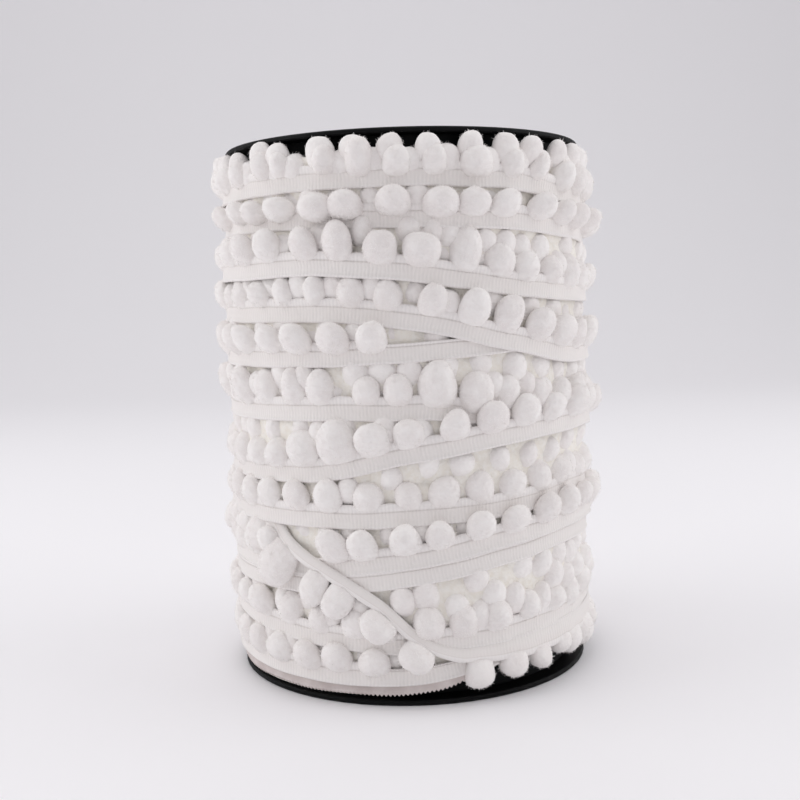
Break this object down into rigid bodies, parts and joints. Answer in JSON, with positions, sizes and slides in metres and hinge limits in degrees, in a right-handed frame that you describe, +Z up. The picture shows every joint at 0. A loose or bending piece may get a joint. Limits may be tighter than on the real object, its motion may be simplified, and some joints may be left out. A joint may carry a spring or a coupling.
{
  "type": "pompom fringe trim on a reel",
  "caption": "White pompom fringe trim wound in crossing turns on an upright reel with two thin black plastic flanges.",
  "frame": {"origin": "centre of the bottom flange's lower face, which rests on the surface", "axes": "+Z up along the reel's axis, -Y towards the viewer of the front"},
  "size_m": [0.1267, 0.1267, 0.16],
  "materials": {
    "trim_yarn": "soft white yarn pompoms on a ribbed woven tape",
    "flange_plastic": "thin moulded black plastic, slightly satin"
  },
  "bodies": {
    "root": {"outer_turns": "trim_yarn", "wound_roll": "trim_yarn", "flange_bottom": "flange_plastic", "flange_top": "flange_plastic"}
  },
  "joints": []
}
